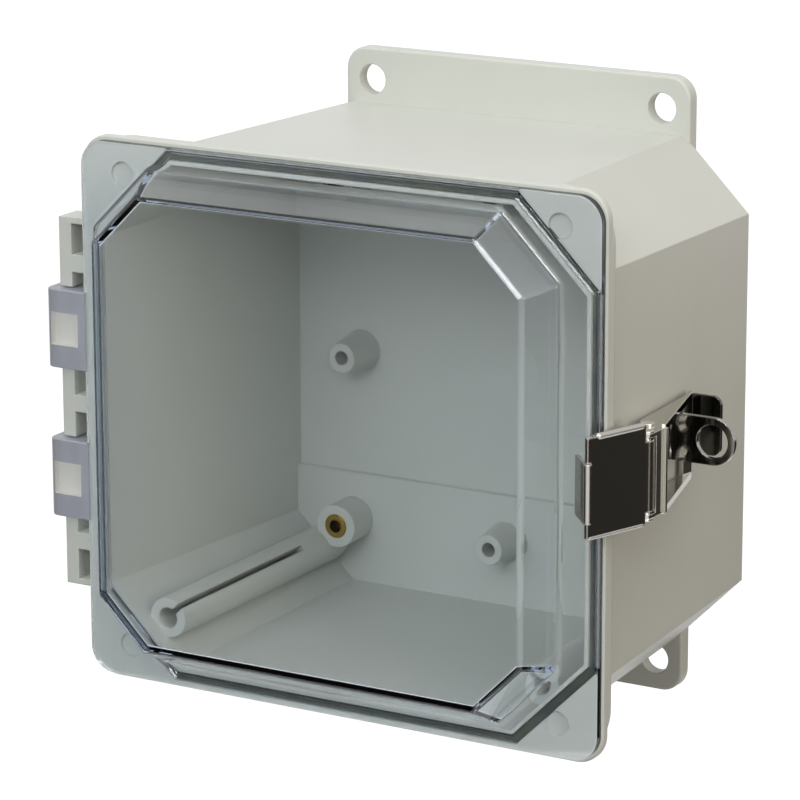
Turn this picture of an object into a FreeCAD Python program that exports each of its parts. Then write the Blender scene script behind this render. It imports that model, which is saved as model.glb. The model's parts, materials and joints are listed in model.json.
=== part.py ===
"""Hinged polycarbonate enclosure for a wall, with a clear domed cover and a snap latch.

Frame: +Z up, the front faces -Y, the wall is the plane y = 0. The origin is the centre of
the four wall holes. All lengths are millimetres. Depths are measured forwards from the wall.
"""
import FreeCAD
import Part
import math
import os

V = FreeCAD.Vector

# Wall holes and mounting flanges
wall_hole_pitch_x = 101.6
wall_hole_pitch_z = 174.6
wall_hole_diameter = 9.5
flange_side_margin = 9.4
flange_end_margin = 10.0
flange_thickness = 4.5
flange_corner_radius = 7.0
flange_edge_radius = 0.8

# Enclosure body: an octagonal box with a little draft
back_size = 159.4
back_corner_sum = 137.2
side_draft = 0.0425
top_draft = 0.0107
corner_draft = 0.0683
back_pad_height = 2.0
back_pad_width = 12.4
back_pad_start_z = 28.0
back_pad_notch_start_z = 42.0
back_pad_notch_width = 3.5
back_edge_radius = 1.6
wall_thickness = 3.2
back_wall_thickness = 4.0
inner_corner_sum_back = 132.7
inner_corner_sum_front = 135.0
band_start_z = 40.5
band_height = 2.0

# Front rim of the body
front_depth = 109.0
front_shift = -1.15
rim_width = 176.4
rim_height = 168.3
rim_corner_radius = 8.7
rim_plate_thickness = 2.5
rim_backing_thickness = 2.0
rim_backing_corner_radius = 16.0
rim_edge_radius = 0.6
corner_recess_diameter = 7.5
corner_recess_depth = 1.0
corner_recess_inset_x = 14.7
corner_recess_inset_z = 11.0

# Gasket groove around the opening
groove_land = 1.3
groove_width = 2.9
groove_depth = 3.5
gasket_side_clearance = 0.1
gasket_height = 2.4

# Bosses and posts inside
insert_pitch = 111.2
insert_boss_diameter = 14.0
insert_boss_tip_depth = 19.5
insert_rib_thickness = 3.0
insert_rib_step = 2.5
insert_outer_diameter = 7.9
insert_bore_diameter = 4.2
insert_length = 9.5
insert_collar_diameter = 7.3
insert_collar_height = 0.4
plain_boss_pitch_x = 106.8
plain_boss_pitch_z = 110.8
plain_boss_base_diameter = 14.0
plain_boss_tip_diameter = 9.6
plain_boss_hole_diameter = 4.6
plain_boss_hole_length = 10.0
plain_boss_tip_depth = 19.0
post_pitch = 128.4
post_diameter = 12.6
post_bore_diameter = 6.5
post_setback = 5.0
post_slot_width = 1.8
post_slot_back_depth = 33.0
dish_diameter = 17.5
dish_depth = 1.0

# Cover
cover_width = 174.9
cover_height = 165.8
cover_corner_radius = 8.0
cover_plate_thickness = 2.4
cover_gap = 0.1
tongue_width = 1.6
tongue_height = 1.1
dome_shift = -5.0
dome_face_width = 144.8
dome_face_height = 140.0
dome_face_corner = 15.6
dome_height = 11.5
dome_flare = 5.9
dome_wall_thickness = 3.0
dome_edge_radius = 1.6
dome_base_radius = 2.6
dome_inner_edge_radius = 0.8
cover_edge_radius = 0.5

# Hinge: rail on the body, pins, and the cover's knuckles
rail_length = 115.0
rail_front_lead = 4.5
rail_thickness = 9.6
bar_left_x = -99.3
bar_width = 4.4
rung_pitch = 43.5
rung_thickness = 5.4
rail_end_thickness = 1.8
hinge_setback = 5.5
hinge_pin_diameter = 2.8
hinge_pin_seat = 4.6
hinge_running_clearance = 0.06
knuckle_pitch = 46.8
knuckle_height = 24.5
knuckle_end_gap = 0.5
knuckle_radius = 6.1
knuckle_step = 0.5
knuckle_corner_radius = 3.0
knuckle_edge_radius = 0.5
knuckle_overlap = 3.0
knuckle_window_width = 9.6
knuckle_window_height = 10.0
knuckle_window_depth = 2.4
knuckle_window_left = 2.2

# Latch on the right-hand side, its places given as distance from the middle and depth
sheet = 1.2
base_sheet = 1.5
latch_centre_z = 0.5
lever_axis_x = 89.3
latch_setback = 20.8
claw_axis_out = 3.6
claw_axis_lead = 7.4
latch_pin_diameter = 2.4
latch_pin_clearance = 0.06
pin_head_diameter = 4.2
pin_head_thickness = 0.7
lever_height = 25.0
lever_side_gap = 0.3
base_foot_lead = 4.2
base_ear_length = 14.0
base_ear_radius = 2.9
hasp_setback = 22.2
hasp_centre_x = 99.5
hasp_centre_z = 4.3
hasp_radius = 7.1
hasp_hole_diameter = 10.0
hasp_bend_radius = 2.5
lever_eye_radius = 3.2
claw_eye_radius = 2.0
lever_strip_length = 5.6
lever_strip_gap = 0.3
lever_top_x = 94.9
lever_wall_gap = 1.9
lever_rear_x = 84.9
lever_rear_setback = 38.2
lever_rear_strip_length = 5.6
lever_lip = 0.8
finger_tab_length = 10.46
finger_tab_height = 18.0
finger_tab_corner = 2.6
claw_edge_x = 86.65
claw_edge_lead = 8.0
claw_plate_end_x = 94.1
claw_plate_end_lead = 2.8
claw_lift = 0.8
claw_height = 29.4
claw_lip_height = 1.2
claw_lip_start = 3.6
hook_height = 17.4
hook_lift = -0.6
hook_tip_x = 79.9
hook_clearance = 0.25
knuckle_roll_radius = 2.1
claw_knuckle_height = 21.0
rivet_setback = 9.2
rivet_pitch = 11.0
rivet_shank_diameter = 4.0
rivet_head_diameter = 7.4
rivet_head_thickness = 1.5
washer_diameter = 10.0
washer_thickness = 1.0
rivet_tail_diameter = 6.4
rivet_tail_thickness = 1.3

# Worked out from the sizes above
flange_width = wall_hole_pitch_x + 2 * flange_side_margin
flange_height = wall_hole_pitch_z + 2 * flange_end_margin
back_half = back_size / 2
back_face_depth = back_pad_height
inner_back_depth = back_face_depth + back_wall_thickness
rim_back_depth = front_depth - rim_plate_thickness - rim_backing_thickness
cover_back_depth = front_depth + cover_gap
cover_front_depth = cover_back_depth + cover_plate_thickness
dome_face_depth = cover_front_depth + dome_height
hinge_x = bar_left_x + bar_width / 2
hinge_depth = front_depth - hinge_setback
rail_front_depth = hinge_depth + rail_front_lead
knuckle_front_depth = cover_front_depth - knuckle_step
post_front_depth = front_depth - post_setback
lever_axis_depth = front_depth - latch_setback
base_foot_front_depth = lever_axis_depth + base_foot_lead
hasp_depth = lever_axis_depth - hasp_setback
lever_rear_depth = lever_axis_depth - lever_rear_setback
rivet_depth = lever_axis_depth - rivet_setback
claw_axis_x = lever_axis_x + claw_axis_out
claw_axis_depth = lever_axis_depth + claw_axis_lead
claw_plate_end_depth = claw_axis_depth + claw_plate_end_lead
claw_edge_depth = cover_front_depth + claw_edge_lead
lever_strip_front_depth = claw_axis_depth - knuckle_roll_radius - lever_strip_gap
lever_strip_back_depth = lever_strip_front_depth - lever_strip_length
ear_outer = lever_height / 2 - sheet - lever_side_gap
ear_inner = ear_outer - base_sheet
CUT_MARGIN = 1.0


def outer_half_x(depth):
    """Half the body's outer width at a depth."""
    return back_half + side_draft * (depth - back_face_depth)


def outer_half_z(depth):
    """Half the body's outer height at a depth."""
    return back_half + top_draft * (depth - back_face_depth)


def outer_sum(depth):
    """|x| + |z| on the outer corner faces at a depth."""
    return back_corner_sum + corner_draft * (depth - back_face_depth)


def inner_half_x(depth):
    return outer_half_x(depth) - wall_thickness


def inner_half_z(depth):
    return outer_half_z(depth) - wall_thickness


def inner_sum(depth):
    """|x| + |z| on the inner corner faces at a depth."""
    share = (depth - inner_back_depth) / (front_depth - inner_back_depth)
    return inner_corner_sum_back + share * (inner_corner_sum_front - inner_corner_sum_back)


def octagon(half_x, half_z, leg, depth, shift=0.0):
    """Wire of a rectangle with its corners cut at 45 degrees, in the plane y = -depth."""
    corners = [(half_x, half_z - leg), (half_x - leg, half_z), (-half_x + leg, half_z),
               (-half_x, half_z - leg), (-half_x, -half_z + leg), (-half_x + leg, -half_z),
               (half_x - leg, -half_z), (half_x, -half_z + leg)]
    points = [V(x + shift, -depth, z) for x, z in corners]
    return Part.makePolygon(points + points[:1])


def octagon_loft(back, front):
    """Solid between two octagons, each (half_x, half_z, leg, depth, shift)."""
    return Part.makeLoft([octagon(*back), octagon(*front)], True, True)


def octagon_prism(half_x, half_z, leg, depth, length, shift=0.0):
    """Straight octagonal block from a depth forwards by a length."""
    face = Part.Face(octagon(half_x, half_z, leg, depth, shift))
    return face.extrude(V(0, -length, 0))


def body_octagon(depth, half_x, half_z, corner_sum):
    return half_x, half_z, half_x + half_z - corner_sum, depth, 0.0


def box(x0, x1, depth0, depth1, z0, z1):
    """Block between two widths, two depths and two heights, given in any order."""
    low = V(min(x0, x1), -max(depth0, depth1), min(z0, z1))
    return Part.makeBox(abs(x1 - x0), abs(depth1 - depth0), abs(z1 - z0), low)


def rod(x, z, depth0, depth1, diameter):
    """Round bar along the depth."""
    return Part.makeCylinder(diameter / 2, depth1 - depth0, V(x, -depth0, z), V(0, -1, 0))


def upright(x, depth, z0, z1, diameter):
    """Round bar along Z."""
    return Part.makeCylinder(diameter / 2, z1 - z0, V(x, -depth, z0), V(0, 0, 1))


def rounded_plate(width, height, radius, depth, thickness, shift=0.0):
    """Upright plate with round corners, its back at a depth."""
    plate = box(shift - width / 2, shift + width / 2, depth, depth + thickness,
                -height / 2, height / 2)
    edges = [e for e in plate.Edges if abs(e.Vertexes[0].Y - e.Vertexes[1].Y) > thickness / 2]
    return plate.makeFillet(radius, edges)


def prism(points, z0, z1):
    """Upright solid over an outline given as (x, depth) corners."""
    outline = [V(x, -depth, z0) for x, depth in points]
    face = Part.Face(Part.makePolygon(outline + outline[:1]))
    return face.extrude(V(0, 0, z1 - z0))


def groove_ring(land, width, depth, length):
    """Octagonal ring around the opening, starting a land outside its edge."""
    half_x = inner_half_x(front_depth)
    half_z = inner_half_z(front_depth)
    leg = half_x + half_z - inner_corner_sum_front
    corner_growth = 2 - math.sqrt(2)
    outer_offset = land + width
    outer = octagon_prism(half_x + outer_offset, half_z + outer_offset,
                          leg + outer_offset * corner_growth, depth, length)
    inner = octagon_prism(half_x + land, half_z + land, leg + land * corner_growth, depth, length)
    return outer.cut(inner)


def corner_signs():
    return [(-1, 1), (1, 1), (-1, -1), (1, -1)]


def edges_in_plane(shape, depth):
    """Edges that lie wholly in the plane at a depth."""
    return [e for e in shape.Edges if all(abs(v.Y + depth) < 0.01 for v in e.Vertexes)]


def height_span(centre, height):
    """Lowest and highest Z of a piece, from its middle and its height."""
    return centre - height / 2, centre + height / 2


def body_shell():
    """The octagonal box with its cavity, bands and front rim."""
    d0 = back_face_depth
    d1 = front_depth - rim_plate_thickness
    outer = octagon_loft(body_octagon(d0, outer_half_x(d0), outer_half_z(d0), outer_sum(d0)),
                         body_octagon(d1, outer_half_x(d1), outer_half_z(d1), outer_sum(d1)))
    outer = outer.makeFillet(back_edge_radius, edges_in_plane(outer, d0))
    rim = rounded_plate(rim_width, rim_height, rim_corner_radius, d1, rim_plate_thickness,
                        front_shift)
    rim = rim.makeFillet(rim_edge_radius, edges_in_plane(rim, front_depth))
    backing = rounded_plate(rim_width, rim_height, rim_backing_corner_radius, rim_back_depth,
                            rim_backing_thickness, front_shift)
    d2 = inner_back_depth
    d3 = front_depth
    cavity = octagon_loft(body_octagon(d2, inner_half_x(d2), inner_half_z(d2), inner_sum(d2)),
                          body_octagon(d3, inner_half_x(d3), inner_half_z(d3), inner_sum(d3)))
    band_front = inner_back_depth + band_height
    bands = [box(-back_half, back_half, inner_back_depth - CUT_MARGIN, band_front,
                 side * band_start_z, side * (back_half + CUT_MARGIN)) for side in (-1, 1)]
    shell = outer.multiFuse([backing, rim])
    return shell.cut(cavity.cut(Part.makeCompound(bands)))


def mounting_flange(side):
    """Flange above or below the box, flat on the wall."""
    plate = rounded_plate(flange_width, flange_height, flange_corner_radius, 0, flange_thickness)
    plate = plate.makeFillet(flange_edge_radius, edges_in_plane(plate, flange_thickness))
    keep = box(-flange_width, flange_width, -CUT_MARGIN, flange_thickness + CUT_MARGIN,
               side * (back_half - 2 * wall_thickness), side * flange_height)
    return plate.common(keep)


def back_pads():
    """Four pads that bring the box's back corners down to the wall, each with a notch."""
    outer_x = back_half - back_edge_radius
    inner_x = outer_x - back_pad_width
    second_start = back_pad_notch_start_z + back_pad_notch_width
    end = back_corner_sum - back_half - back_edge_radius
    pads = []
    for sx, sz in corner_signs():
        for low, high in ((back_pad_start_z, back_pad_notch_start_z), (second_start, end)):
            pads.append(box(sx * inner_x, sx * outer_x, 0, back_face_depth + CUT_MARGIN,
                            sz * low, sz * high))
    return pads


def insert_boss(sx, sz):
    """Round boss for a threaded insert, with a rib into the corner."""
    x = sx * insert_pitch / 2
    z = sz * insert_pitch / 2
    start = back_face_depth + CUT_MARGIN
    boss = rod(x, z, start, insert_boss_tip_depth, insert_boss_diameter)
    rib_length = (inner_corner_sum_back - insert_pitch) / math.sqrt(2) + CUT_MARGIN
    rib_tip = insert_boss_tip_depth - insert_rib_step
    rib = Part.makeBox(rib_length, rib_tip - start, insert_rib_thickness,
                       V(0, -rib_tip, -insert_rib_thickness / 2))
    angle = -math.degrees(math.atan2(sz, sx))
    rib.rotate(V(0, 0, 0), V(0, 1, 0), angle)
    rib.translate(V(x, 0, z))
    return [boss, rib]


def plain_boss(x, z):
    """Tapered boss for a self-tapping screw."""
    start = back_face_depth + CUT_MARGIN
    length = plain_boss_tip_depth - start
    return Part.makeCone(plain_boss_base_diameter / 2, plain_boss_tip_diameter / 2, length,
                         V(x, -start, z), V(0, -1, 0))


def plain_boss_places():
    x = plain_boss_pitch_x / 2
    z = plain_boss_pitch_z / 2
    return [(-x, 0), (x, 0), (0, -z), (0, z)]


def post_signs():
    """The slotted posts stand in the two lower corners only."""
    return [(-1, -1), (1, -1)]


def corner_post(sx, sz):
    start = back_face_depth + CUT_MARGIN
    return rod(sx * post_pitch / 2, sz * post_pitch / 2, start, post_front_depth, post_diameter)


def post_hollow(sx, sz):
    """Bore and lengthwise slot of a corner post; the slot faces the middle of the box."""
    x = sx * post_pitch / 2
    z = sz * post_pitch / 2
    bore = rod(x, z, post_slot_back_depth, post_front_depth + CUT_MARGIN, post_bore_diameter)
    length = post_front_depth + CUT_MARGIN - post_slot_back_depth
    slot = Part.makeBox(post_diameter, length, post_slot_width,
                        V(0, -(post_front_depth + CUT_MARGIN), -post_slot_width / 2))
    slot.rotate(V(0, 0, 0), V(0, 1, 0), -math.degrees(math.atan2(-sz, -sx)))
    slot.translate(V(x, 0, z))
    return [bore, slot]


def knuckle_zone(side, gap):
    """Heights between which a cover knuckle, and a gap above and below it, lie."""
    middle = side * knuckle_pitch / 2
    reach = knuckle_height / 2 + gap
    return middle - reach, middle + reach


def hinge_rail():
    """Ladder-shaped rail: an outer bar on rungs, opened where the cover's knuckles sit."""
    half = rail_length / 2
    back = rail_front_depth - rail_thickness
    wall_x = -outer_half_x(back) + wall_thickness / 2
    bar = box(bar_left_x, bar_left_x + bar_width, back, rail_front_depth, -half, half)
    rungs = []
    for z in (-rung_pitch, 0, rung_pitch):
        rungs.append(box(hinge_x, wall_x, back, rail_front_depth,
                         z - rung_thickness / 2, z + rung_thickness / 2))
    for side in (-1, 1):
        rungs.append(box(hinge_x, wall_x, back, rail_front_depth,
                         side * (half - rail_end_thickness), side * half))
    rail = bar.multiFuse(rungs)
    for side in (-1, 1):
        z0, z1 = knuckle_zone(side, knuckle_end_gap)
        rail = rail.cut(box(bar_left_x - bar_width, bar_left_x + 2 * bar_width,
                            back - CUT_MARGIN, rail_front_depth + CUT_MARGIN, z0, z1))
        rail = rail.cut(upright(hinge_x, hinge_depth, z0 - hinge_pin_seat, z1 + hinge_pin_seat,
                                hinge_pin_diameter))
    return rail


def wall_place(depth, z):
    """Placement on the right-hand wall: local x leaves the wall, local y runs to the back."""
    angle = math.degrees(math.atan(side_draft))
    turn = FreeCAD.Rotation(V(0, 0, 1), angle)
    return FreeCAD.Placement(V(outer_half_x(depth), -depth, z), turn)


def rivet_places():
    return [(rivet_depth, latch_centre_z + side * rivet_pitch / 2) for side in (1, -1)]


def back_wall_dish():
    """Ball that leaves a shallow round hollow in the middle of the back wall."""
    radius = (dish_diameter ** 2 / 4 + dish_depth ** 2) / (2 * dish_depth)
    return Part.makeSphere(radius, V(0, -(inner_back_depth - dish_depth + radius), 0))


def make_body():
    shell = body_shell()
    adds = [mounting_flange(1), mounting_flange(-1), hinge_rail()] + back_pads()
    for sx, sz in corner_signs():
        adds += insert_boss(sx, sz)
    for sx, sz in post_signs():
        adds.append(corner_post(sx, sz))
    adds += [plain_boss(x, z) for x, z in plain_boss_places()]
    body = shell.multiFuse(adds)
    cuts = [back_wall_dish()]
    for sx, sz in post_signs():
        cuts += post_hollow(sx, sz)
    for sx, sz in corner_signs():
        cuts.append(rod(sx * insert_pitch / 2, sz * insert_pitch / 2,
                        insert_boss_tip_depth - insert_length,
                        insert_boss_tip_depth + CUT_MARGIN, insert_outer_diameter))
        cuts.append(rod(sx * wall_hole_pitch_x / 2, sz * wall_hole_pitch_z / 2, -CUT_MARGIN,
                        flange_thickness + CUT_MARGIN, wall_hole_diameter))
        recess_x = front_shift + sx * (rim_width / 2 - corner_recess_inset_x)
        recess_z = sz * (rim_height / 2 - corner_recess_inset_z)
        cuts.append(rod(recess_x, recess_z, front_depth - corner_recess_depth,
                        front_depth + CUT_MARGIN, corner_recess_diameter))
    for x, z in plain_boss_places():
        cuts.append(rod(x, z, plain_boss_tip_depth - plain_boss_hole_length,
                        plain_boss_tip_depth + CUT_MARGIN, plain_boss_hole_diameter))
    cuts.append(groove_ring(groove_land, groove_width, front_depth - groove_depth,
                            groove_depth + CUT_MARGIN))
    for depth, z in rivet_places():
        hole = Part.makeCylinder(rivet_shank_diameter / 2, 4 * wall_thickness,
                                 V(-2 * wall_thickness, 0, 0), V(1, 0, 0))
        hole.Placement = wall_place(depth, z)
        cuts.append(hole)
    return body.cut(cuts).removeSplitter()


def make_gasket():
    width = groove_width - 2 * gasket_side_clearance
    return groove_ring(groove_land + gasket_side_clearance, width, front_depth - groove_depth,
                       gasket_height)


def make_insert(sx, sz):
    """Brass insert: a bored sleeve with a plain collar at its mouth."""
    x = sx * insert_pitch / 2
    z = sz * insert_pitch / 2
    back = insert_boss_tip_depth - insert_length
    sleeve = rod(x, z, back, insert_boss_tip_depth, insert_outer_diameter)
    collar = rod(x, z, insert_boss_tip_depth, insert_boss_tip_depth + insert_collar_height,
                 insert_collar_diameter)
    return sleeve.fuse(collar).cut(rod(x, z, back - CUT_MARGIN, insert_boss_tip_depth + CUT_MARGIN,
                                       insert_bore_diameter)).removeSplitter()


def make_hinge_pin(side):
    z0, z1 = knuckle_zone(side, knuckle_end_gap)
    return upright(hinge_x, hinge_depth, z0 - hinge_pin_seat, z1 + hinge_pin_seat,
                   hinge_pin_diameter)


def cover_knuckle(side):
    """Block on the cover's left edge that turns on a hinge pin, with a window recess."""
    z0, z1 = knuckle_zone(side, 0)
    left = hinge_x - knuckle_radius
    right = hinge_x + knuckle_radius
    cover_left = front_shift - cover_width / 2
    reach = cover_left + knuckle_overlap
    front = knuckle_front_depth
    r = knuckle_corner_radius
    diagonal = r * (1 - math.sqrt(0.5))
    a = V(reach, -front, z0)
    b = V(left + r, -front, z0)
    c = V(left, -(front - r), z0)
    d = V(left, -hinge_depth, z0)
    e = V(right, -hinge_depth, z0)
    f = V(right, -cover_back_depth, z0)
    g = V(reach, -cover_back_depth, z0)
    corner = V(left + diagonal, -(front - diagonal), z0)
    behind = V(hinge_x, -hinge_depth + knuckle_radius, z0)
    edges = [Part.LineSegment(a, b).toShape(), Part.Arc(b, corner, c).toShape(),
             Part.LineSegment(c, d).toShape(), Part.Arc(d, behind, e).toShape(),
             Part.LineSegment(e, f).toShape(), Part.LineSegment(f, g).toShape(),
             Part.LineSegment(g, a).toShape()]
    block = Part.Face(Part.Wire(edges)).extrude(V(0, 0, z1 - z0))
    end_edges = [e for e in block.Edges
                 if abs(e.Vertexes[0].Z - e.Vertexes[-1].Z) < 0.01
                 and all(v.X < reach - 0.01 or abs(v.Y + front) < 0.01 for v in e.Vertexes)
                 and not all(abs(v.X - reach) < 0.01 for v in e.Vertexes)]
    block = block.makeFillet(knuckle_edge_radius, end_edges)
    bore = hinge_pin_diameter + 2 * hinge_running_clearance
    block = block.cut(upright(hinge_x, hinge_depth, z0 - CUT_MARGIN, z1 + CUT_MARGIN, bore))
    middle = side * knuckle_pitch / 2
    window_left = left + knuckle_window_left
    window = box(window_left, window_left + knuckle_window_width,
                 front - knuckle_window_depth, front + CUT_MARGIN,
                 middle - knuckle_window_height / 2, middle + knuckle_window_height / 2)
    return block.cut(window)


def dome_shell():
    """Raised octagonal window: the outer block, and the hollow that is cut from under it."""
    growth = 2 - math.sqrt(2)
    face_x = dome_face_width / 2
    face_z = dome_face_height / 2
    base_leg = dome_face_corner + dome_flare * growth
    dome = octagon_loft(
        (face_x + dome_flare, face_z + dome_flare, base_leg, cover_front_depth, dome_shift),
        (face_x, face_z, dome_face_corner, dome_face_depth, dome_shift))
    dome = dome.makeFillet(dome_edge_radius, dome_edges(dome, cover_front_depth))
    slope = dome_flare / dome_height
    inner_depth = dome_face_depth - dome_wall_thickness
    inner_face = dome_wall_thickness * (math.hypot(1, slope) - slope)
    inner_base = dome_flare - dome_wall_thickness * math.hypot(1, slope)
    inner_base += slope * (cover_plate_thickness + CUT_MARGIN)
    start = cover_back_depth - CUT_MARGIN
    hollow = octagon_loft(
        (face_x + inner_base, face_z + inner_base, dome_face_corner + inner_base * growth,
         start, dome_shift),
        (face_x - inner_face, face_z - inner_face, dome_face_corner - inner_face * growth,
         inner_depth, dome_shift))
    hollow = hollow.makeFillet(dome_inner_edge_radius, dome_edges(hollow, start))
    return dome, hollow


def dome_edges(block, base_depth):
    """Face edges and slanted corner edges of a dome block, without its base edges."""
    base = [e.hashCode() for e in edges_in_plane(block, base_depth)]
    return [e for e in block.Edges if e.hashCode() not in base]


def make_cover():
    plate = rounded_plate(cover_width, cover_height, cover_corner_radius, cover_back_depth,
                          cover_plate_thickness, front_shift)
    plate = plate.makeFillet(cover_edge_radius, edges_in_plane(plate, cover_front_depth))
    dome, hollow = dome_shell()
    cover = plate.fuse(dome)
    plate_edge = cover_width / 2 - cover_edge_radius - CUT_MARGIN
    base_edges = [e for e in edges_in_plane(cover, cover_front_depth)
                  if all(abs(v.X - front_shift) < plate_edge
                         and abs(v.Z) < cover_height / 2 - cover_edge_radius - CUT_MARGIN
                         for v in e.Vertexes)]
    cover = cover.makeFillet(dome_base_radius, base_edges)
    tongue_land = groove_land + (groove_width - tongue_width) / 2
    tongue = groove_ring(tongue_land, tongue_width, cover_back_depth - tongue_height,
                         tongue_height + CUT_MARGIN)
    cover = cover.fuse(tongue).cut(hollow)
    return cover.multiFuse([cover_knuckle(1), cover_knuckle(-1)]).removeSplitter()


def hasp_strap():
    """Strip that runs on the wall, bends outwards and ends in the padlock ring."""
    t = base_sheet
    r = hasp_bend_radius
    tilt = math.atan(side_draft)
    centre_depth = hasp_depth + r + t / 2
    centre = V(outer_half_x(centre_depth) + (r + t) / math.cos(tilt), -centre_depth, 0)
    to_wall = V(-math.cos(tilt), -math.sin(tilt), 0)
    to_front = V(math.sin(tilt), -math.cos(tilt), 0) * (r + t)
    half_turn = (math.pi / 2 + tilt) / 2
    middle = V(-math.sin(half_turn), math.cos(half_turn), 0)
    back = V(0, 1, 0)
    outer = [centre + d * (r + t) for d in (to_wall, middle, back)]
    inner = [centre + d * r for d in (to_wall, middle, back)]
    tip = V(hasp_centre_x, outer[2].y, 0)
    front_tip = V(hasp_centre_x, inner[2].y, 0)
    edges = [Part.LineSegment(outer[0] + to_front, outer[0]), Part.Arc(*outer),
             Part.LineSegment(outer[2], tip), Part.LineSegment(tip, front_tip),
             Part.LineSegment(front_tip, inner[2]), Part.Arc(*reversed(inner)),
             Part.LineSegment(inner[0], inner[0] + to_front),
             Part.LineSegment(inner[0] + to_front, outer[0] + to_front)]
    face = Part.Face(Part.Wire([edge.toShape() for edge in edges]))
    face.translate(V(0, 0, hasp_centre_z - hasp_radius))
    strap = face.extrude(V(0, 0, 2 * hasp_radius))
    ring = rod(hasp_centre_x, hasp_centre_z, hasp_depth - t / 2, hasp_depth + t / 2,
               2 * hasp_radius)
    hole = rod(hasp_centre_x, hasp_centre_z, hasp_depth - t, hasp_depth + t,
               hasp_hole_diameter)
    return strap.fuse(ring).cut(hole)


def make_latch_base():
    """Foot on the wall, two ears for the lever's pin, and the padlock hasp."""
    foot_back_depth = hasp_depth + hasp_bend_radius + base_sheet
    foot_length = base_foot_front_depth - foot_back_depth
    foot = Part.makeBox(base_sheet, foot_length, 2 * ear_outer, V(0, -foot_length, -ear_outer))
    foot.Placement = wall_place(foot_back_depth, latch_centre_z)
    wall_x = outer_half_x(base_foot_front_depth) + base_sheet / 2
    ear_back_depth = lever_axis_depth - base_ear_length
    wall_back_x = outer_half_x(ear_back_depth) + base_sheet / 2
    pieces = [hasp_strap()]
    for low, high in ((ear_inner, ear_outer), (-ear_outer, -ear_inner)):
        z0 = latch_centre_z + low
        z1 = latch_centre_z + high
        eye = upright(lever_axis_x, lever_axis_depth, z0, z1, 2 * base_ear_radius)
        gusset = prism([(wall_x, base_foot_front_depth - base_sheet),
                        (lever_axis_x, lever_axis_depth + base_ear_radius),
                        (lever_axis_x + base_ear_radius, lever_axis_depth),
                        (lever_axis_x, lever_axis_depth - base_ear_radius),
                        (wall_back_x, ear_back_depth)], z0, z1)
        pieces += [eye, gusset]
    base = foot.multiFuse(pieces)
    cuts = [upright(lever_axis_x, lever_axis_depth, -lever_height, lever_height,
                    latch_pin_diameter)]
    for depth, z in rivet_places():
        hole = Part.makeCylinder(rivet_shank_diameter / 2, 4 * base_sheet,
                                 V(-base_sheet, 0, 0), V(1, 0, 0))
        hole.Placement = wall_place(depth, z)
        cuts.append(hole)
    return base.cut(cuts).removeSplitter()


def lever_wall_x(depth):
    """Inner edge of the lever's sides, which follows the wall at a gap."""
    return outer_half_x(depth) + lever_wall_gap


def lever_flange(z0, z1):
    """Triangular side of the lever, with an eye at each pin."""
    front = lever_axis_depth - lever_eye_radius
    outline = prism([(lever_wall_x(front), front),
                     (lever_axis_x, lever_axis_depth + lever_eye_radius),
                     (claw_axis_x, claw_axis_depth + claw_eye_radius),
                     (claw_axis_x + claw_eye_radius, claw_axis_depth),
                     (lever_top_x, lever_strip_front_depth),
                     (lever_top_x, lever_strip_back_depth),
                     (lever_rear_x, lever_rear_depth),
                     (lever_wall_x(lever_rear_depth), lever_rear_depth)], z0, z1)
    eyes = [upright(lever_axis_x, lever_axis_depth, z0, z1, 2 * lever_eye_radius),
            upright(claw_axis_x, claw_axis_depth, z0, z1, 2 * claw_eye_radius)]
    return outline.multiFuse(eyes)


def lever_edge_lip(z0, z1):
    """Raised lip along the slanting outer edge of a side."""
    outer = ((lever_top_x, lever_strip_back_depth), (lever_rear_x, lever_rear_depth))
    inner = offset_line(*outer[0], *outer[1], -sheet)
    return prism([outer[0], outer[1], inner[1], inner[0]], z0, z1)


def make_latch_lever():
    """Channel of sheet: two sides, a front strip, a rear strip and the finger tab."""
    low, high = height_span(latch_centre_z, lever_height)
    top = lever_flange(high - sheet, high)
    bottom = lever_flange(low, low + sheet)
    lips = [lever_edge_lip(high - sheet, high + lever_lip),
            lever_edge_lip(low - lever_lip, low + sheet),
            box(lever_top_x - sheet, lever_top_x + lever_lip, lever_strip_back_depth,
                lever_strip_back_depth + sheet, low, high)]
    strip = box(lever_top_x - sheet, lever_top_x, lever_strip_back_depth,
                lever_strip_front_depth, low, high)
    rear_x = lever_wall_x(lever_rear_depth)
    rear = box(rear_x, rear_x + sheet, lever_rear_depth,
               lever_rear_depth + lever_rear_strip_length, low, high)
    tab_tip_x = rear_x + finger_tab_length
    tab = box(rear_x, tab_tip_x, lever_rear_depth - sheet, lever_rear_depth,
              high - finger_tab_height, high)
    tip_edges = [e for e in tab.Edges
                 if all(abs(v.X - tab_tip_x) < 0.01 for v in e.Vertexes)
                 and abs(e.Vertexes[0].Y - e.Vertexes[1].Y) > sheet / 2]
    tab = tab.makeFillet(finger_tab_corner, tip_edges)
    lever = top.multiFuse([bottom, strip, rear, tab] + lips)
    bore = latch_pin_diameter + 2 * latch_pin_clearance
    cuts = [upright(lever_axis_x, lever_axis_depth, -lever_height, lever_height, bore),
            upright(claw_axis_x, claw_axis_depth, -lever_height, lever_height,
                    latch_pin_diameter)]
    return lever.cut(cuts).removeSplitter()


def offset_line(x0, depth0, x1, depth1, distance):
    """Move a line of the plan to its left, seen along its direction with depth upwards."""
    length = math.hypot(x1 - x0, depth1 - depth0)
    nx = -(depth1 - depth0) / length
    nd = (x1 - x0) / length
    return (x0 + nx * distance, depth0 + nd * distance), (x1 + nx * distance,
                                                          depth1 + nd * distance)


def point_along(x0, depth0, x1, depth1, distance):
    """Point of the plan at a distance along a line."""
    share = distance / math.hypot(x1 - x0, depth1 - depth0)
    return x0 + share * (x1 - x0), depth0 + share * (depth1 - depth0)


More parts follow.
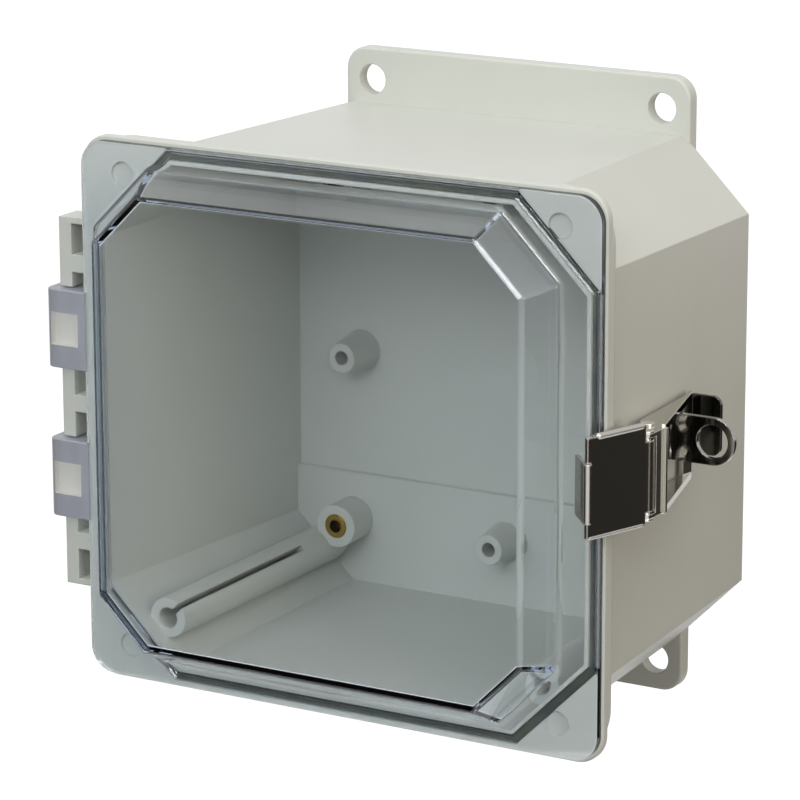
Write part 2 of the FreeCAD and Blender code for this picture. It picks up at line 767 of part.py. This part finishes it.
def make_latch_claw():
    """Plate with folded lips, a hook folded back at the front and a rolled knuckle."""
    low, high = height_span(latch_centre_z + claw_lift, claw_height)
    start = (claw_edge_x, claw_edge_depth)
    end = (claw_plate_end_x, claw_plate_end_depth)
    near, far = offset_line(*start, *end, -sheet)
    plate = prism([start, end, far, near], low, high)
    lip_start = point_along(*start, *end, claw_lip_start)
    lip_near, lip_far = offset_line(*lip_start, *end, -sheet - claw_lip_height)
    lips = [prism([lip_start, end, lip_far, lip_near], high - sheet, high),
            prism([lip_start, end, lip_far, lip_near], low, low + sheet)]
    knuckle = height_span(latch_centre_z, claw_knuckle_height)
    axis = (claw_axis_x, claw_axis_depth)
    inner_side = offset_line(*end, *axis, knuckle_roll_radius)[1]
    outer_side = offset_line(*end, *axis, -knuckle_roll_radius)[1]
    neck = prism([end, far, outer_side, inner_side], *knuckle)
    roll = upright(*axis, *knuckle, 2 * knuckle_roll_radius)
    tip_depth = cover_front_depth + hook_clearance
    hook_near, hook_far = offset_line(*start, hook_tip_x, tip_depth, -sheet)
    hook_span = height_span(latch_centre_z + hook_lift, hook_height)
    hook = prism([start, (hook_tip_x, tip_depth), hook_far, hook_near], *hook_span)
    bend = upright(*start, *hook_span, 2 * sheet)
    claw = plate.multiFuse(lips + [neck, roll, hook, bend])
    bore = latch_pin_diameter + 2 * latch_pin_clearance
    return claw.cut(upright(*axis, -claw_height, claw_height, bore)).removeSplitter()


def make_latch_pin(x, depth):
    """Pin with a thin head on each side of the lever's sides."""
    low, high = height_span(latch_centre_z, lever_height)
    shank = upright(x, depth, low, high, latch_pin_diameter)
    heads = [upright(x, depth, high, high + pin_head_thickness, pin_head_diameter),
             upright(x, depth, low - pin_head_thickness, low, pin_head_diameter)]
    return shank.multiFuse(heads).removeSplitter()


def make_rivet(depth, z):
    """Domed head outside the latch base, shank through the wall, tail inside the washer."""
    inner = -wall_thickness * math.cos(math.atan(side_draft))
    tail_start = inner - washer_thickness
    shank = Part.makeCylinder(rivet_shank_diameter / 2, base_sheet - tail_start,
                              V(tail_start, 0, 0), V(1, 0, 0))
    head = Part.makeCone(rivet_head_diameter / 2, rivet_head_diameter / 2 - rivet_head_thickness,
                         rivet_head_thickness, V(base_sheet, 0, 0), V(1, 0, 0))
    tail = Part.makeCylinder(rivet_tail_diameter / 2, rivet_tail_thickness,
                             V(tail_start, 0, 0), V(-1, 0, 0))
    rivet = shank.multiFuse([head, tail]).removeSplitter()
    rivet.Placement = wall_place(depth, z)
    return rivet


def make_washer(depth, z):
    inner = -wall_thickness * math.cos(math.atan(side_draft))
    disc = Part.makeCylinder(washer_diameter / 2, washer_thickness, V(inner, 0, 0), V(-1, 0, 0))
    disc = disc.cut(Part.makeCylinder(rivet_shank_diameter / 2, 4 * washer_thickness,
                                      V(inner + washer_thickness, 0, 0), V(-1, 0, 0)))
    disc.Placement = wall_place(depth, z)
    return disc


def make_parts():
    parts = {"enclosure_body": make_body(), "cover": make_cover(), "gasket": make_gasket()}
    sides = {-1: "left", 1: "right"}
    rows = {1: "upper", -1: "lower"}
    for sx, sz in corner_signs():
        parts["insert_" + rows[sz] + "_" + sides[sx]] = make_insert(sx, sz)
    for side in (1, -1):
        parts["hinge_pin_" + rows[side]] = make_hinge_pin(side)
    parts["latch_base"] = make_latch_base()
    parts["latch_lever"] = make_latch_lever()
    parts["latch_claw"] = make_latch_claw()
    parts["lever_pivot_pin"] = make_latch_pin(lever_axis_x, lever_axis_depth)
    parts["claw_pivot_pin"] = make_latch_pin(claw_axis_x, claw_axis_depth)
    for row, (depth, z) in zip(("upper", "lower"), rivet_places()):
        parts["latch_rivet_" + row] = make_rivet(depth, z)
        parts["rivet_washer_" + row] = make_washer(depth, z)
    return parts


def main():
    os.makedirs("parts", exist_ok=True)
    for name, shape in make_parts().items():
        print(name, len(shape.Solids), shape.isValid(), round(shape.Volume, 1))
        shape.exportStep("parts/" + name + ".step")


main()
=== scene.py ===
# %% [markdown]
# # A hinged polycarbonate enclosure
# The object is a wall box moulded in light grey polycarbonate, with a clear domed cover on two hinge
# knuckles and a polished stainless snap latch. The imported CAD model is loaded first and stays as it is:
# this file gives it a camera, light and finishes, and adds the small shapes that only the picture needs.
# Every length is in metres.

# %% Load the frame
import bmesh
import bpy
import json
import math
import numpy as np
from mathutils import Matrix, Vector


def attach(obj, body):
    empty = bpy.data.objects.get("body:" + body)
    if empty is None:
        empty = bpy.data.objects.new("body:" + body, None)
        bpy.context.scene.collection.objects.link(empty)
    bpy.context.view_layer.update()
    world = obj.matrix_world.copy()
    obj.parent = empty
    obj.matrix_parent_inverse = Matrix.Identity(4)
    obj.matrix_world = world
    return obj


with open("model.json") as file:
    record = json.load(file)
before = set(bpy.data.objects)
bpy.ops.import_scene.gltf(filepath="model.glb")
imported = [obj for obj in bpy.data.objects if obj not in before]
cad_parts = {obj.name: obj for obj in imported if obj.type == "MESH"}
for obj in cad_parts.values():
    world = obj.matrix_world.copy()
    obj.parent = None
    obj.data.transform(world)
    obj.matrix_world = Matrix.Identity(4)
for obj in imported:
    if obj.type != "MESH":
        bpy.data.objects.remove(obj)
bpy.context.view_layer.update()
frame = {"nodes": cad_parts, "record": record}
nodes = frame["nodes"]
MM = 0.001
WHITE = (1.0, 1.0, 1.0)
print("nodes:", sorted(nodes))

# %% [markdown]
# ## The camera
# The photograph was taken with a long lens from the upper right. Its place was worked out from straight
# edges whose sizes are known, so the camera is written as a place, a point that it looks at, a lens and
# a very small roll.

# %% Camera
CAMERA_PLACE = Vector((593.7, -1090.4, 314.3)) * MM
CAMERA_TARGET = Vector((-11.5, -55.25, -0.26)) * MM
CAMERA_ROLL = math.radians(-0.162)
CAMERA_LENS = 183.22
SENSOR_WIDTH = 36.0
CLIP_NEAR, CLIP_FAR = 0.05, 50.0


def aim(place, target, roll=0.0):
    """Matrix that stands at a place and looks at a target, with +Z up before the roll."""
    view = (target - place).to_track_quat("-Z", "Y").to_matrix().to_4x4()
    return Matrix.Translation(place) @ view @ Matrix.Rotation(roll, 4, "Z")


camera_data = bpy.data.cameras.new("camera")
camera_data.lens = CAMERA_LENS
camera_data.sensor_width = SENSOR_WIDTH
camera_data.clip_start = CLIP_NEAR
camera_data.clip_end = CLIP_FAR
camera = bpy.data.objects.new("camera", camera_data)
camera.matrix_world = aim(CAMERA_PLACE, CAMERA_TARGET, CAMERA_ROLL)
bpy.context.scene.collection.objects.link(camera)
bpy.context.scene.camera = camera

# %% [markdown]
# ## Building materials
# Each finish is a small tree of shader nodes. A few short helpers keep the trees readable. They start a
# material, add a node with its values set, do sums on sockets, mix two surfaces, and lay a fine grain or
# a soft change of shade over a piece. Patterns follow the place on the piece, so they stay on it when it
# moves.


# %% Material helpers
def start_material(name):
    """A new node material, its tree and its Principled shader."""
    material = bpy.data.materials.new(name)
    material.use_nodes = True
    tree = material.node_tree
    return material, tree, tree.nodes["Principled BSDF"]


def add_node(tree, kind, **values):
    """Add a node; values name its properties, or its input sockets with _ for a space."""
    node = tree.nodes.new(kind)
    for key, value in values.items():
        if hasattr(node, key):
            setattr(node, key, value)
        else:
            node.inputs[key.replace("_", " ")].default_value = value
    return node


def math_node(tree, operation, first, second=0.0):
    """Maths on two inputs, each a socket or a number; gives the output socket."""
    node = add_node(tree, "ShaderNodeMath", operation=operation)
    for socket, value in zip(node.inputs, (first, second)):
        if isinstance(value, (int, float)):
            socket.default_value = value
        else:
            tree.links.new(value, socket)
    return node.outputs["Value"]


def object_place(tree):
    """Sockets for the place on the piece: the whole vector, and its X, Y and Z apart."""
    vector = add_node(tree, "ShaderNodeTexCoord").outputs["Object"]
    split = add_node(tree, "ShaderNodeSeparateXYZ")
    tree.links.new(vector, split.inputs["Vector"])
    return vector, split.outputs


def see_through(tree):
    """Output of a surface that light passes straight through."""
    return add_node(tree, "ShaderNodeBsdfTransparent", Color=(*WHITE, 1.0)).outputs["BSDF"]


def mix_surfaces(tree, factor, first, second):
    """Surface that is the first where the factor is 0 and the second where it is 1."""
    mixed = add_node(tree, "ShaderNodeMixShader")
    for source, socket in zip((factor, first, second), mixed.inputs):
        tree.links.new(source, socket)
    return mixed.outputs["Shader"]


def mix_colours(tree, factor, first, second):
    """Colour that is the first where the factor is 0 and the second where it is 1."""
    mixed = add_node(tree, "ShaderNodeMix", data_type="RGBA")
    mixed.inputs["A"].default_value = (*first, 1.0)
    mixed.inputs["B"].default_value = (*second, 1.0)
    tree.links.new(factor, mixed.inputs["Factor"])
    return mixed.outputs["Result"]


def show_surface(tree, surface):
    """Make a surface the one that the material shows."""
    tree.links.new(surface, tree.nodes["Material Output"].inputs["Surface"])


def grain(tree, shader, scale, strength, distance, edge_radius=0.0):
    """Fine texture as bump, over a normal that rounds the edges."""
    vector, _ = object_place(tree)
    noise = add_node(tree, "ShaderNodeTexNoise", Scale=scale, Detail=3.0)
    bump = add_node(tree, "ShaderNodeBump", Strength=strength, Distance=distance)
    tree.links.new(vector, noise.inputs["Vector"])
    tree.links.new(noise.outputs["Fac"], bump.inputs["Height"])
    if edge_radius:
        bevel = add_node(tree, "ShaderNodeBevel", samples=4, Radius=edge_radius)
        tree.links.new(bevel.outputs["Normal"], bump.inputs["Normal"])
    tree.links.new(bump.outputs["Normal"], shader.inputs["Normal"])


def mottle(tree, shader, low, high, scale):
    """Soft change of colour over the surface between two near shades."""
    vector, _ = object_place(tree)
    noise = add_node(tree, "ShaderNodeTexNoise", Scale=scale, Detail=2.0)
    ramp = add_node(tree, "ShaderNodeValToRGB")
    for end, position, shade in zip(ramp.color_ramp.elements, (0.3, 0.7), (low, high)):
        end.position = position
        end.color = (*shade, 1.0)
    tree.links.new(vector, noise.inputs["Vector"])
    tree.links.new(noise.outputs["Fac"], ramp.inputs["Fac"])
    tree.links.new(ramp.outputs["Color"], shader.inputs["Base Color"])


# %% [markdown]
# ## Moulded polycarbonate
# The box is opaque light grey plastic with a faint green cast. Its surface is a fine spark texture from
# the mould, so the gloss is soft and the edges are slightly round. A bump of fine noise gives the
# texture, and the Bevel node gives edges that catch a little light.

# %% Body plastic
BODY_SHADES = (0.610, 0.625, 0.575), (0.632, 0.645, 0.595)


def make_body_plastic():
    """Opaque grey plastic with a fine mould texture."""
    material, tree, shader = start_material("moulded_grey_polycarbonate")
    shader.inputs["Roughness"].default_value = 0.42
    shader.inputs["IOR"].default_value = 1.5
    grain(tree, shader, scale=2600.0, strength=0.12, distance=0.06 * MM, edge_radius=0.6 * MM)
    mottle(tree, shader, *BODY_SHADES, scale=30.0)
    return material


# %% [markdown]
# ## Clear polycarbonate
# The cover bends light strongly, so its edges and ribs draw bright and dark lines. The plastic has a
# faint smoky blue cast that only shows where light runs a long way through it, so the colour is an
# absorbing volume and not a paint. Sharp refraction would keep the lamps out of the box, because a
# lamp's light only finds its way through glass by chance. For shadow rays the surface is therefore
# plainly see-through, which keeps the inside lit.
#
# The two hinge knuckles are thick blocks with a fine mould texture. They look milky, with their grey
# painted in as shade, and a paler patch painted in their windows stands for the pale rail behind. The
# same material turns milky left of the cover's edge, going by the place on the piece.

# %% Cover plastic
COVER_TINT = (0.97, 0.98, 1.0)
COVER_IOR = 1.58
COVER_LEFT_EDGE = -88.7 * MM
SMOKE_TINT = (0.40, 0.50, 0.62)
SMOKE_DENSITY = 72.0
MILKY_TRANSMISSION = 0.35
# Painted shade: the knuckles' grey, and a paler painted patch in each window for the rail behind.
KNUCKLE_PAINTED_SHADE_TINT = (0.50, 0.50, 0.56)
KNUCKLE_WINDOW_PAINTED_RAIL_TINT = (0.90, 0.88, 0.82)
KNUCKLE_WINDOW_X, KNUCKLE_WINDOW_Z = -96.2 * MM, 23.4 * MM
KNUCKLE_WINDOW_HALF_X, KNUCKLE_WINDOW_HALF_Z = 4.9 * MM, 5.1 * MM


def near(tree, value, middle, half):
    """1 where a value lies within a half width of a middle, else 0."""
    offset = math_node(tree, "ABSOLUTE", math_node(tree, "SUBTRACT", value, middle))
    return math_node(tree, "LESS_THAN", offset, half)


def make_clear_plastic():
    """Clear plastic with a smoky depth, which turns milky on the two knuckles, with painted shade."""
    material, tree, shader = start_material("clear_polycarbonate")
    shader.inputs["Base Color"].default_value = (*COVER_TINT, 1.0)
    shader.inputs["Roughness"].default_value = 0.0
    shader.inputs["IOR"].default_value = COVER_IOR
    shader.inputs["Transmission Weight"].default_value = 1.0

    milky = add_node(tree, "ShaderNodeBsdfPrincipled", Roughness=0.38, IOR=1.5,
                     Transmission_Weight=MILKY_TRANSMISSION)
    _, place = object_place(tree)
    height = math_node(tree, "ABSOLUTE", place["Z"])
    window = math_node(tree, "MULTIPLY",
                       near(tree, place["X"], KNUCKLE_WINDOW_X, KNUCKLE_WINDOW_HALF_X),
                       near(tree, height, KNUCKLE_WINDOW_Z, KNUCKLE_WINDOW_HALF_Z))
    # Painted shade on the knuckles, and a paler painted patch in each window.
    tint = mix_colours(tree, window, KNUCKLE_PAINTED_SHADE_TINT, KNUCKLE_WINDOW_PAINTED_RAIL_TINT)
    tree.links.new(tint, milky.inputs["Base Color"])

    knuckle = math_node(tree, "LESS_THAN", place["X"], COVER_LEFT_EDGE)
    plastic = mix_surfaces(tree, knuckle, shader.outputs["BSDF"], milky.outputs["BSDF"])
    shadow_ray = add_node(tree, "ShaderNodeLightPath").outputs["Is Shadow Ray"]
    show_surface(tree, mix_surfaces(tree, shadow_ray, plastic, see_through(tree)))
    smoke = add_node(tree, "ShaderNodeVolumeAbsorption", Color=(*SMOKE_TINT, 1.0),
                     Density=SMOKE_DENSITY)
    tree.links.new(smoke.outputs["Volume"], tree.nodes["Material Output"].inputs["Volume"])
    return material


# %% [markdown]
# ## Metals and the seal
# The latch is stainless sheet, polished until it mirrors the studio, with a trace of the rolling lines.
# Its pieces are one stainless given different colours as painted shade: the pins are brightest, the claw
# and the lever are darker, the base with its padlock eye is darker still, and the lever's finger tab is
# painted near black. The inserts are turned brass. The seal is a soft dark grey strip.

# %% Metal and seal finishes
STAINLESS_COLOUR = (0.78, 0.76, 0.72)
# Painted shade: the claw, base and lever colours are darker copies of the one polished stainless.
CLAW_PAINTED_SHADE_COLOUR = (0.46, 0.44, 0.41)
BASE_PAINTED_SHADE_COLOUR = (0.30, 0.29, 0.27)
LEVER_PAINTED_SHADE_COLOUR = (0.52, 0.50, 0.45)
# Painted shade: the finger tab's near-black colour, blended in behind the tab's front.
TAB_PAINTED_SHADE_COLOUR = (0.10, 0.097, 0.085)
TAB_FRONT, TAB_FADE = -50.1 * MM, 0.4 * MM
CUT_EDGE, FOLDED_EDGE = 0.35 * MM, 0.7 * MM
BRASS_COLOUR = (0.46, 0.31, 0.09)
SEAL_SHADES = (0.070, 0.080, 0.080), (0.110, 0.120, 0.085)


def make_metal(name, colour, roughness):
    """A plain metal surface, without its grain."""
    material, tree, shader = start_material(name)
    shader.inputs["Base Color"].default_value = (*colour, 1.0)
    shader.inputs["Metallic"].default_value = 1.0
    shader.inputs["Roughness"].default_value = roughness
    return material, tree, shader


def make_stainless(name, colour, edge_radius):
    """Polished sheet whose edges are rounded by a radius, as cut or folded sheet is."""
    material, tree, shader = make_metal(name, colour, roughness=0.09)
    grain(tree, shader, scale=900.0, strength=0.05, distance=0.03 * MM, edge_radius=edge_radius)
    return material


def make_lever_painted_shade_finish():
    """The sheet finish, with painted shade that turns the finger tab near black behind a depth."""
    material = make_stainless("lever_stainless_painted_shade", LEVER_PAINTED_SHADE_COLOUR, CUT_EDGE)
    tree = material.node_tree
    _, place = object_place(tree)
    fade = add_node(tree, "ShaderNodeMapRange", From_Min=TAB_FRONT - TAB_FADE, From_Max=TAB_FRONT)
    tree.links.new(place["Y"], fade.inputs["Value"])
    # Painted shade: behind the tab's front the lever's colour turns near black.
    colour = mix_colours(tree, fade.outputs["Result"], LEVER_PAINTED_SHADE_COLOUR, TAB_PAINTED_SHADE_COLOUR)
    tree.links.new(colour, tree.nodes["Principled BSDF"].inputs["Base Color"])
    return material


def make_brass():
    """Turned brass with faint tool marks."""
    material, tree, shader = make_metal("turned_brass", BRASS_COLOUR, roughness=0.25)
    grain(tree, shader, scale=1500.0, strength=0.08, distance=0.04 * MM, edge_radius=0.2 * MM)
    return material


def make_seal():
    """Soft foam with a coarse skin."""
    material, tree, shader = start_material("foam_seal")
    shader.inputs["Roughness"].default_value = 0.7
    grain(tree, shader, scale=3500.0, strength=0.3, distance=0.1 * MM)
    mottle(tree, shader, *SEAL_SHADES, scale=120.0)
    return material


FINISHES = {"body_plastic": make_body_plastic(), "clear_cover": make_clear_plastic(),
            "seal": make_seal(), "brass": make_brass(),
            "stainless": make_stainless("polished_stainless", STAINLESS_COLOUR, CUT_EDGE)}
# The claw, base and lever get the darker copies of the stainless, which are painted shade.
OWN_FINISHES = {"latch_claw": make_stainless("claw_stainless_painted_shade", CLAW_PAINTED_SHADE_COLOUR, FOLDED_EDGE),
                "latch_base": make_stainless("base_stainless_painted_shade", BASE_PAINTED_SHADE_COLOUR, CUT_EDGE),
                "latch_lever": make_lever_painted_shade_finish()}
SLOT_OF_NODE = {part["node"]: part["material_slot"] for part in frame["record"]["subparts"]}

for name, node in nodes.items():
    for slot in node.material_slots:
        slot.material = OWN_FINISHES.get(name, FINISHES[SLOT_OF_NODE[name]])
print("finishes:", sorted(FINISHES))

# %% [markdown]
# ## Hems on the claw plate
# The latch's plate is thin sheet, so its long edges are folded over into round hems that stiffen it and
# are kind to the fingers. A hem could be a bent strip with many loops, but from any distance it is a rod
# with rounded ends. It is worked out as a circle carried along a line, and near each end the circle
# shrinks as a ball's slices do.

# %% Hems
MERGE_DISTANCE = 1e-7
PLATE_FRONT = np.array([86.65, -119.5]) * MM
PLATE_BACK = np.array([94.1, -98.4]) * MM
HALF_SHEET = 0.6 * MM
HEM_END_GAP = 0.2 * MM
HEM_SHAPES = {"claw_hem_top": {"level": 15.8 * MM, "radius": 1.05 * MM, "lead": 3.6 * MM},
              "claw_hem_bottom": {"level": -13.3 * MM, "radius": 0.75 * MM, "lead": 0.3 * MM}}


def grid_piece(name, points, body, material):
    """Closed surface from rows of rings, an array (rows, around, 3), whose end rings are points."""
    rows, around = points.shape[:2]
    row, turn = np.meshgrid(np.arange(rows - 1), np.arange(around), indexing="ij")
    after = (turn + 1) % around
    quads = np.stack([row * around + turn, row * around + after,
                      (row + 1) * around + after, (row + 1) * around + turn], axis=-1).reshape(-1, 4)
    mesh = bpy.data.meshes.new(name)
    mesh.from_pydata(points.reshape(-1, 3).tolist(), [], quads.tolist())
    work = bmesh.new()
    work.from_mesh(mesh)
    bmesh.ops.remove_doubles(work, verts=work.verts, dist=MERGE_DISTANCE)
    bmesh.ops.recalc_face_normals(work, faces=work.faces)
    work.to_mesh(mesh)
    work.free()
    mesh.shade_smooth()
    mesh.materials.append(material)
    piece = bpy.data.objects.new(name, mesh)
    bpy.context.scene.collection.objects.link(piece)
    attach(piece, body)
    print(name, len(mesh.vertices), "points,", len(mesh.polygons), "faces")
    return piece


def round_ended_rod(start, end, radius, rows=28, around=20):
    """Rings along a line; ring radius = R * sqrt(1 - e^2), where e runs 0 to 1 into each end cap."""
    start, end = np.asarray(start), np.asarray(end)
    along = end - start
    length = np.linalg.norm(along)
    along = along / length
    ease = (1 - np.cos(np.linspace(0.0, np.pi, rows))) / 2
    place = ease * length
    into_end = np.maximum(radius - np.minimum(place, length - place), 0.0) / radius
    ring = radius * np.sqrt(np.maximum(1.0 - into_end ** 2, 0.0))
    up = np.array([0.0, 0.0, 1.0])
    out = np.cross(along, up)
    turn = np.linspace(0.0, 2 * np.pi, around, endpoint=False)
    circle = np.cos(turn)[:, None] * out + np.sin(turn)[:, None] * up
    return start + place[:, None, None] * along + ring[:, None, None] * circle


plate_run = (PLATE_BACK - PLATE_FRONT) / np.linalg.norm(PLATE_BACK - PLATE_FRONT)
plate_inward = np.array([-plate_run[1], plate_run[0]])

for hem, shape in HEM_SHAPES.items():
    first = PLATE_FRONT + plate_run * shape["lead"] + plate_inward * HALF_SHEET
    last = PLATE_BACK - plate_run * HEM_END_GAP + plate_inward * HALF_SHEET
    rings = round_ended_rod([*first, shape["level"]], [*last, shape["level"]], shape["radius"])
    grid_piece(hem, rings, "claw", OWN_FINISHES["latch_claw"])

# %% [markdown]
# ## The white background
# The photograph is a cut-out on white. The camera, the metal and the glass see the floor and the world
# as white, while every other ray finds a grey studio. The Light Path node tells these rays apart, and
# its count of diffuse bounces keeps the white out of the light that falls on the plastic.

# %% White background
UNDER_ONE = 0.5


def white_background_factor(tree):
    """1 for a ray from the camera, or on from metal or glass, that has touched nothing matt; else 0."""
    path = add_node(tree, "ShaderNodeLightPath").outputs
    mirrored = math_node(tree, "MAXIMUM", path["Is Glossy Ray"], path["Is Transmission Ray"])
    seen = math_node(tree, "MAXIMUM", path["Is Camera Ray"], mirrored)
    clean = math_node(tree, "LESS_THAN", path["Diffuse Depth"], UNDER_ONE)
    return math_node(tree, "MULTIPLY", seen, clean)


# %% [markdown]
# ## The floor
# A wide floor lies well below the box, so that only a breath of shadow falls on it. It shows on its
# upper side alone, so the box can also be looked at from below.

# %% Floor
FLOOR_LEVEL = -0.26
FLOOR_SIZE = 12.0
FLOOR_COLOUR = (0.10, 0.10, 0.10)
FLOOR_GLOW = 0.99


def stage_mesh(name, points, faces, material):
    """Mesh that belongs to the studio, not to the object."""
    mesh = bpy.data.meshes.new(name)
    mesh.from_pydata(points, [], faces)
    mesh.materials.append(material)
    sheet = bpy.data.objects.new(name, mesh)
    bpy.context.scene.collection.objects.link(sheet)
    return sheet


def make_floor():
    """Floor that shows white and still takes a soft shadow; from below it is not seen."""
    material, tree, shader = start_material("pale_floor")
    shader.inputs["Base Color"].default_value = (*FLOOR_COLOUR, 1.0)
    shader.inputs["Roughness"].default_value = 0.9
    shader.inputs["Emission Color"].default_value = (*WHITE, 1.0)
    glow = math_node(tree, "MULTIPLY", white_background_factor(tree), FLOOR_GLOW)
    tree.links.new(glow, shader.inputs["Emission Strength"])
    below = add_node(tree, "ShaderNodeNewGeometry").outputs["Backfacing"]
    show_surface(tree, mix_surfaces(tree, below, shader.outputs["BSDF"], see_through(tree)))
    half = FLOOR_SIZE / 2
    corners = [(-half, -half, FLOOR_LEVEL), (half, -half, FLOOR_LEVEL),
               (half, half, FLOOR_LEVEL), (-half, half, FLOOR_LEVEL)]
    return stage_mesh("floor", corners, [(0, 1, 2, 3)], material)


make_floor()

# %% [markdown]
# ## Black flags
# A polished latch on an all-white set would vanish, so a photographer stands black cards where the metal
# looks. The plate, the lever and the padlock ring all mirror something low down: to the right, behind on
# the right, or in front on the left. The cards take no light from the plastic, since only mirrored rays
# see them. Their edges fade out, so that no hard line shows when the flat cover mirrors one.

# %% Flags
LATCH_PLACE = (0.09, -0.09)
FLAG_COLOUR = (0.100, 0.092, 0.082)
FLAG_STEPS, SOFT_STEPS = 25, 4
FLAG_ROWS, SOFT_ROWS = 13, 2
FLAG_SHAPES = {
    "flag_right": {"start": -25.0, "end": 100.0, "distance": 0.42, "low": -0.25, "high": -0.02},
    "flag_front_left": {"start": 172.0, "end": 262.0, "distance": 0.50, "low": -0.25, "high": 0.03}}


def make_black_card():
    """Matt black that only a mirrored ray sees; a look straight through glass passes it by."""
    material, tree, shader = start_material("black_card")
    shader.inputs["Base Color"].default_value = (*FLAG_COLOUR, 1.0)
    shader.inputs["Roughness"].default_value = 0.9
    shader.inputs["Specular IOR Level"].default_value = 0.0
    bounces = add_node(tree, "ShaderNodeLightPath").outputs["Glossy Depth"]
    fade = add_node(tree, "ShaderNodeAttribute", attribute_name="fade").outputs["Fac"]
    mirrored = math_node(tree, "GREATER_THAN", bounces, UNDER_ONE)
    shown = math_node(tree, "MULTIPLY", mirrored, fade)
    show_surface(tree, mix_surfaces(tree, shown, see_through(tree), shader.outputs["BSDF"]))
    return material


def make_flag(name, material, start, end, distance, low, high):
    """Upright curved card around the latch, between two azimuths from +X towards +Y.

    The point value "fade" is 1 on the card and falls to 0 at its top and its two ends.
    """
    turn = np.radians(np.linspace(start, end, FLAG_STEPS))
    x = LATCH_PLACE[0] + distance * np.cos(turn)
    y = LATCH_PLACE[1] + distance * np.sin(turn)
    levels = np.linspace(low, high, FLAG_ROWS)
    points = np.concatenate([np.stack([x, y, np.full_like(x, level)], axis=1) for level in levels])
    row, step = np.meshgrid(np.arange(FLAG_ROWS - 1), np.arange(FLAG_STEPS - 1), indexing="ij")
    corner = (row * FLAG_STEPS + step).ravel()
    quads = np.stack([corner, corner + 1, corner + 1 + FLAG_STEPS, corner + FLAG_STEPS], axis=1)
    flag = stage_mesh(name, points.tolist(), quads.tolist(), material)
    across = np.arange(FLAG_STEPS)
    across_fade = np.minimum(np.minimum(across, FLAG_STEPS - 1 - across) / SOFT_STEPS, 1.0)
    up_fade = np.minimum((FLAG_ROWS - 1 - np.arange(FLAG_ROWS)) / SOFT_ROWS, 1.0)
    fade = flag.data.attributes.new("fade", "FLOAT", "POINT")
    fade.data.foreach_set("value", np.outer(up_fade, across_fade).ravel().astype(np.float32))
    flag.visible_camera = False
    flag.visible_diffuse = False
    flag.visible_shadow = False
    return flag


black_card = make_black_card()
for flag_name, flag_shape in FLAG_SHAPES.items():
    make_flag(flag_name, black_card, **flag_shape)

# %% [markdown]
# ## Lamps and world
# Two large soft lamps light the box from above and from the front. A warm one stands on the right, and a
# small one draws a bright line on the front edges. The world fills the rest with grey that is lighter
# towards the ceiling.

# %% Lamps and world
MIDDLE = (0.0, 0.0, 0.0)
SKY_LOW, SKY_HIGH = -0.3, 0.9
DIM_GREY, LIGHT_GREY = 0.13, 0.47
LAMPS = {
    "top_lamp": {"place": (0.15, -0.25, 1.3), "size": 1.2, "watts": 7.0},
    "front_lamp": {"place": (-0.25, -1.6, 0.75), "size": 1.0, "watts": 9.6, "colour": (0.93, 1.0, 1.0)},
    "edge_lamp": {"place": (0.41, -1.38, 0.78), "target": (0.05, -0.12, 0.06), "size": 0.26, "watts": 3.0},
    "side_lamp": {"place": (1.7, -0.7, 0.5), "size": 0.8, "watts": 10.6, "colour": (1.0, 0.87, 0.72)}}


def make_lamp(name, place, size, watts, target=MIDDLE, colour=WHITE):
    """Soft square lamp that faces a target."""
    data = bpy.data.lights.new(name, "AREA")
    data.shape = "SQUARE"
    data.size = size
    data.energy = watts
    data.color = colour
    lamp = bpy.data.objects.new(name, data)
    lamp.matrix_world = aim(Vector(place), Vector(target))
    bpy.context.scene.collection.objects.link(lamp)
    return lamp


def make_world():
    """White where it is seen, and a grey studio with a lighter ceiling for every other ray."""
    world = bpy.data.worlds.new("studio")
    bpy.context.scene.world = world
    world.use_nodes = True
    tree = world.node_tree
    background = tree.nodes["Background"]
    background.inputs["Color"].default_value = (*WHITE, 1.0)
    coords = add_node(tree, "ShaderNodeTexCoord")
    split = add_node(tree, "ShaderNodeSeparateXYZ")
    grey = add_node(tree, "ShaderNodeMapRange", From_Min=SKY_LOW, From_Max=SKY_HIGH,
                    To_Min=DIM_GREY, To_Max=LIGHT_GREY)
    strength = add_node(tree, "ShaderNodeMix", data_type="FLOAT")
    tree.links.new(coords.outputs["Generated"], split.inputs["Vector"])
    tree.links.new(split.outputs["Z"], grey.inputs["Value"])
    tree.links.new(white_background_factor(tree), strength.inputs["Factor"])
    tree.links.new(grey.outputs["Result"], strength.inputs["A"])
    strength.inputs["B"].default_value = 1.0
    tree.links.new(strength.outputs["Result"], background.inputs["Strength"])
    return world


make_world()
for lamp_name, lamp_values in LAMPS.items():
    make_lamp(lamp_name, **lamp_values)
bpy.context.scene.view_settings.view_transform = "Standard"
